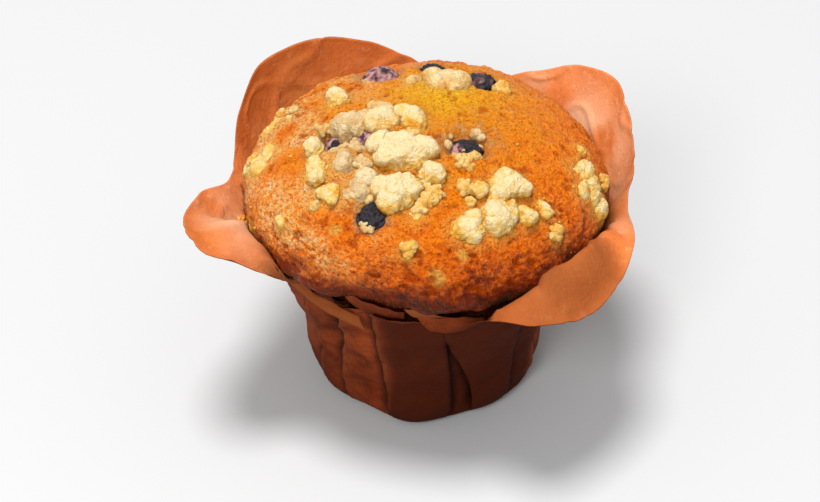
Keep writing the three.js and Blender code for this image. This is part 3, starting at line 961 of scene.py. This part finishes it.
def makeBrownCrumbs(material):
    bm = bmesh.new()
    for _ in range(looseLook["brown"]):
        first, last = random.choice(looseLook["gaps"])
        azimuth = first + (last - first) * (random.random() + random.random()) / 2
        climb = 0.14 + 0.3 * random.random() ** 1.5
        row = paper["footRows"] + paper["wallRows"] + paper["petalRows"] * climb
        radius, height, run, _, _ = paperRow(azimuth % 360, row)
        turn = Vector((math.cos(math.radians(azimuth)), math.sin(math.radians(azimuth)), 0))
        inward = Vector((0, 0, run[0])) - turn * run[1]
        size = random.uniform(0.4, 1.3) * (1 - climb)
        addCrumb(bm, turn * radius + Vector((0, 0, height)) + inward * 0.3, inward, size)
    piece = meshPiece("brown_crumbs", bm, [material])
    install(piece, "crust")


# materials


def bakedCrust():
    s = Shader("golden_crust", (0.8, 0.42, 0.1))
    stain = s.painted("stain")
    pit = s.painted("pit")
    butter = s.painted("butter")
    yolk = s.painted("yolk")
    flour = s.painted("flour")
    height = s.painted("height")
    patch = s.noise(10, 3, 0.6)
    small = s.noise(3.2, 3, 0.6)
    crumb = s.noise(0.6, 4, 0.7)
    fine = s.noise(0.95, 3, 0.6)
    grain = s.painted("grain") * 0.4 + fine * 0.6
    high = height.between(45, 60)
    # darker towards the bottom of the dome, partly the crust's deeper bake and partly painted shade;
    # grain tops are painted paler and grain hollows darker as painted highlight and painted shade
    bakedAndShaded = (height - 45.5) / (cakeHigh.z - 45.5)
    bakedAndShaded = bakedAndShaded * 0.95 + (patch - 0.5) * 0.6 + (small - 0.5) * 0.6
    bakedAndShaded = bakedAndShaded + (grain - 0.5) * (0.45 + high * 0.55) + flour * 0.3 + 0.06
    tone = s.ramp(bakedAndShaded, [
        (0.0, (0.08, 0.005, 0.0002)),
        (0.22, (0.26, 0.02, 0.0003)),
        (0.42, (0.7, 0.11, 0.0008)),
        (0.68, (0.94, 0.2, 0.0013)),
        (1.0, (0.94, 0.27, 0.004)),
    ])
    eggy = s.mix(grain.between(0.3, 0.7), (0.86, 0.36, 0.002), (0.97, 0.62, 0.012))
    tone = s.mix(yolk * 0.95, tone, eggy)
    # painted highlight on the left, partly flour: the crust there is mixed towards pale orange and cream
    dustedAndSheen = (s.noise(6, 3, 0.6).between(0.45, 0.7) * 0.7 + flour * 0.5).clamped()
    pale = fine.between(0.4, 0.62) * dustedAndSheen
    tone = s.mix(flour * fine.between(0.35, 0.6) * 0.65, tone, (0.96, 0.46, 0.09))
    tone = s.mix(pale * (0.05 + flour * 0.8), tone, (0.97, 0.7, 0.36))
    tone = s.mix((butter * 0.42).clamped(), tone, (0.82, 0.44, 0.08))
    red = s.noise(2.4, 3, 0.6).between(0.54, 0.66) * (1 - yolk)
    tone = s.mix(red * high * 0.45, tone, (0.62, 0.09, 0.001))
    tone = s.mix(pit * 0.7, tone, (0.5, 0.06, 0.001))
    # painted shade in the hollows of the crumb
    tone = s.mix(crumb.between(0.5, 0.32) * (0.35 + high * 0.4), tone, (0.36, 0.045, 0.0008))
    # painted glints on the crumb's raised grains, most on the upper and left crust
    tone = s.mix(crumb.between(0.54, 0.66) * high * (0.22 + flour * 0.6), tone, (0.92, 0.6, 0.22))
    dark = s.noise(1.6, 3, 0.6).between(0.35, 0.65)
    berryJuice = s.mix(dark, (0.07, 0.012, 0.02), (0.62, 0.36, 0.15))
    tone = s.mix((stain * (0.25 + dark * 0.75)).clamped() * 0.7, tone, berryJuice)
    normal = s.bump(crumb * 1.8 + grain * 1.5 + s.noise(0.35, 2) * 0.9, 1.3, 1.0)
    return s.finish({
        "Base Color": tone,
        "Roughness": 0.12 + crumb * 0.36,
        "Normal": normal,
        "Subsurface Weight": 0.08,
        "Subsurface Radius": (1.0, 0.4, 0.1),
        "Subsurface Scale": 0.001,
        "Specular IOR Level": 0.34,
        "Specular Tint": (1.0, 0.7, 0.35),
    })


def paleCrumble():
    s = Shader("butter_crumble", (0.93, 0.8, 0.52))
    patch = s.noise(3.2, 3, 0.55)
    cream = s.painted("cream")
    dull = s.painted("dull")
    # the crumble's colour, with the painted highlight on its tops and the painted shade in its creases
    tone = s.ramp(cream + (patch - 0.5) * 0.6, [
        (0.26, (0.55, 0.17, 0.006)),
        (0.48, (0.64, 0.31, 0.03)),
        (0.7, (0.67, 0.44, 0.13)),
        (0.96, (0.68, 0.53, 0.29)),
    ])
    yolk = s.noise(2.1, 2, 0.5).between(0.62, 0.78)
    tone = s.mix(yolk * 0.5, tone, (0.66, 0.31, 0.025))
    battered = s.mix(patch.between(0.4, 0.6), (0.46, 0.31, 0.17), (0.6, 0.47, 0.28))
    tone = s.mix(dull * 0.7, tone, battered)
    grain = s.noise(0.45, 4, 0.6)
    return s.finish({
        "Base Color": tone,
        "Roughness": 0.5 + grain * 0.25,
        "Normal": s.bump(grain * 1.4 + s.noise(1.0, 3) * 1.3, 0.7, 1.0),
        "Subsurface Weight": 0.15,
        "Subsurface Radius": (1.0, 0.7, 0.3),
        "Subsurface Scale": 0.0012,
        "Specular IOR Level": 0.15,
    })


def toastedCrumbs():
    s = Shader("toasted_crumbs", (0.4, 0.15, 0.03))
    tone = s.ramp(s.noise(1.4, 2), [
        (0.35, (0.4, 0.09, 0.003)),
        (0.5, (0.6, 0.2, 0.008)),
        (0.65, (0.7, 0.32, 0.03)),
    ])
    grain = s.noise(0.3, 3, 0.6)
    return s.finish({
        "Base Color": tone,
        "Roughness": 0.5 + grain * 0.2,
        "Normal": s.bump(grain, 0.2, 0.8),
        "Specular IOR Level": 0.25,
    })


def berrySkin():
    s = Shader("blueberry_skin", (0.05, 0.03, 0.08))
    bloom = s.noise(1.8, 3, 0.6)
    skin = s.ramp(bloom, [
        (0.3, (0.003, 0.002, 0.003)),
        (0.55, (0.008, 0.005, 0.009)),
        (0.8, (0.035, 0.02, 0.032)),
    ])
    batter = s.painted("batter")
    patches = s.noise(1.1, 3).between(0.35, 0.6)
    film = s.mix(patches, (0.05, 0.008, 0.018), (0.33, 0.17, 0.16))
    fine = s.noise(0.35, 3, 0.6)
    return s.finish({
        "Base Color": s.mix(batter, skin, film),
        "Roughness": 0.34 + batter * 0.3 + fine * 0.2,
        "Normal": s.bump(fine + s.noise(0.9, 3), 0.3, 1.0),
        "Specular IOR Level": 0.3,
    })


def darker(colour, share):
    return tuple(share * part for part in colour)


def bakingPaper(name, light, dark, bright):
    s = Shader(name, light)
    mottle = s.noise(6, 4, 0.65)
    grease = s.noise(2.2, 4, 0.6)
    fibre = s.noise(0.35, 3, 0.6)
    crease = s.painted("crease")
    tone = s.mix(mottle.between(0.3, 0.7), dark, light)
    tone = s.mix(grease.between(0.55, 0.75) * 0.35, tone, bright)
    tone = s.mix(fibre.between(0.4, 0.75) * 0.35, tone, darker(dark, 0.6))
    # painted highlight along the fold edges
    tone = s.mix((crease * -1.0).clamped(), tone, bright)
    # painted sheen on the petals
    tone = s.mix(s.painted("faded") * 0.8, tone, s.mix(grease, bright, (0.74, 0.45, 0.28)))
    # painted shade, with random mottle
    tone = s.mix((s.painted("dusk") * 0.82).clamped(), tone, darker(dark, 0.36))
    # painted shade beside the folds
    tone = s.mix(crease.clamped() * 0.92, tone, darker(dark, 0.12))
    relief = s.noise(3.5, 3, 0.6, 1.2) * 0.45 + (fibre + grease * 0.8) * 0.14
    return s.finish({
        "Base Color": tone,
        "Roughness": 0.62 + grease * 0.2,
        "Normal": s.bump(relief, 0.7, 1.0),
        "Specular IOR Level": 0.06,
    })


def floorPaint():
    s = Shader("pale_floor", (0.66, 0.66, 0.66))
    tone = s.mix(s.noise(600, 2), (0.405, 0.405, 0.405), (0.415, 0.415, 0.415))
    return s.finish({"Base Color": tone, "Roughness": 0.9, "Specular IOR Level": 0.1})


print("materials")
crust = bakedCrust()
crumble = paleCrumble()
skin = berrySkin()
paperColours = {  # its usual colour, darker fibres, and the paler colour of grease spots, painted highlight and painted sheen
    "inside": ((0.59, 0.166, 0.04), (0.49, 0.118, 0.026), (0.64, 0.37, 0.22)),
    # darker than the inside, in part the paper's own colour and in part painted shade
    "outside": ((0.29, 0.052, 0.012), (0.12, 0.017, 0.003), (0.38, 0.1, 0.035)),
}
paperInside = bakingPaper("paper_inside", *paperColours["inside"])
paperOutsideShaded = bakingPaper("paper_outside_shaded", *paperColours["outside"])
toasted = toastedCrumbs()

print("crumble nuggets")
nuggets = [makeNugget(name, crumble) for name in nuggetNames]
print("blueberries")
for name in berryNames:
    makeBerry(name, skin)
print("cake")
bakedCake = makeCake(crust, nuggets)
print("paper case")
makeCase(paperInside, paperOutsideShaded)
makeRimFolds(paperInside, paperOutsideShaded)
print("loose crumbs")
makePaleCrumbs(crumble, bakedCake)
makeTufts(crumble, bakedCake)
makeBrownCrumbs(toasted)


# floor, light and camera
studio = {
    "distance": 520,
    "elevation": 35,
    "lens": 100,
    "aimAside": -3.42,  # from the middle of the dome's widest ring, across the view and up it
    "aimUp": -13.93,
    "floorSize": 6000,
    "room": 0.7,  # strength of the pale surroundings
    "keyLight": ((-300, 60, 2700), 900, 92),  # place, how wide, power
    "frontLight": ((-330, -1000, 820), 500, 12),
    "lightAim": (0, 0, 40),
}


def makeFloor():
    bm = bmesh.new()
    bmesh.ops.create_grid(bm, x_segments=1, y_segments=1, size=studio["floorSize"] * mm / 2)
    floor = meshPiece("floor", bm, [floorPaint()])


def softLight(name, place, size, power):  # a round lamp, aimed at the muffin
    light = bpy.data.lights.new(name, "AREA")
    light.shape = "DISK"
    light.size = size * mm
    light.energy = power
    lamp = bpy.data.objects.new(name, light)
    lamp.location = Vector(place) * mm
    toward = Vector(studio["lightAim"]) - Vector(place)
    lamp.rotation_euler = toward.to_track_quat("-Z", "Y").to_euler()
    bpy.context.scene.collection.objects.link(lamp)


def setStudio():
    scene = bpy.context.scene
    scene.view_settings.view_transform = "Standard"
    world = bpy.data.worlds.new("pale_room")
    world.use_nodes = True
    world.node_tree.nodes["Background"].inputs["Color"].default_value = (1, 1, 1, 1)
    world.node_tree.nodes["Background"].inputs["Strength"].default_value = studio["room"]
    scene.world = world
    softLight("key_light", *studio["keyLight"])
    softLight("front_light", *studio["frontLight"])
    tilt = math.radians(studio["elevation"])
    backward = Vector((0, -math.cos(tilt), math.sin(tilt)))
    upView = Vector((0, math.sin(tilt), math.cos(tilt)))
    middle = Vector((0, 0, cake["ringHeight"]))
    aim = middle + Vector((studio["aimAside"], 0, 0)) + upView * studio["aimUp"]
    lens = bpy.data.cameras.new("camera")
    lens.lens = studio["lens"]
    lens.sensor_width = 36
    lens.clip_end = 20
    camera = bpy.data.objects.new("camera", lens)
    camera.location = (middle + backward * studio["distance"]) * mm
    camera.rotation_euler = (aim * mm - camera.location).to_track_quat("-Z", "Y").to_euler()
    scene.collection.objects.link(camera)
    scene.camera = camera


print("floor, light and camera")
makeFloor()
setStudio()
